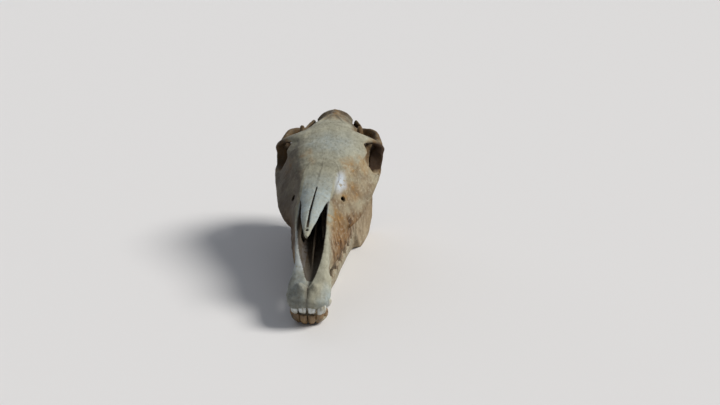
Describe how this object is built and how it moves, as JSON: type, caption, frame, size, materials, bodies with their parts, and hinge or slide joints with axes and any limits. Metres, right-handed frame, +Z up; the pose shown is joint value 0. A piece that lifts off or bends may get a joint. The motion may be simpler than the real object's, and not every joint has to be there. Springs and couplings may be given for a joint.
{
  "type": "horse skull",
  "caption": "Life-size dry skull of a horse with its lower jaw closed, lying on the lower edges of the jaw, for display and study.",
  "frame": {"origin": "on the floor, under the middle of the overall length and width", "axes": "+Z up, the muzzle points to -Y and the animal's left is +X"},
  "size_m": [0.2128, 0.5434, 0.2481],
  "materials": {
    "weathered_bone": "dry sun-bleached bone, pale grey with a faint green cast, matt",
    "stained_bone": "dry bone stained ochre and brown by soil, matt",
    "jaw_bone": "dry bone, light grey to tan, matt",
    "tooth_cementum": "tan cementum over ridged crowns, satin",
    "tooth_enamel": "worn enamel, bluish white to cream, slightly glossy"
  },
  "bodies": {
    "root": {"frontal_left": "weathered_bone", "frontal_right": "weathered_bone", "incisive_left": "weathered_bone", "incisive_right": "weathered_bone", "lacrimal_left": "stained_bone", "lacrimal_right": "stained_bone", "lower_cheek_teeth_left": "tooth_cementum", "lower_cheek_teeth_right": "tooth_cementum", "lower_incisor_1_left": "tooth_enamel", "lower_incisor_1_right": "tooth_enamel", "lower_incisor_2_left": "tooth_enamel", "lower_incisor_2_right": "tooth_enamel", "lower_incisor_3_left": "tooth_enamel", "lower_incisor_3_right": "tooth_enamel", "mandible": "jaw_bone", "maxilla_left": "stained_bone", "maxilla_right": "stained_bone", "nasal_left": "weathered_bone", "nasal_right": "weathered_bone", "occipital": "stained_bone", "palatine": "stained_bone", "parietal": "weathered_bone", "sphenoid": "stained_bone", "temporal_left": "stained_bone", "temporal_right": "stained_bone", "upper_cheek_teeth_left": "tooth_cementum", "upper_cheek_teeth_right": "tooth_cementum", "upper_incisor_1_left": "tooth_enamel", "upper_incisor_1_right": "tooth_enamel", "upper_incisor_2_left": "tooth_enamel", "upper_incisor_2_right": "tooth_enamel", "upper_incisor_3_left": "tooth_enamel", "upper_incisor_3_right": "tooth_enamel", "vomer": "stained_bone", "zygomatic_left": "stained_bone", "zygomatic_right": "stained_bone"}
  },
  "joints": []
}
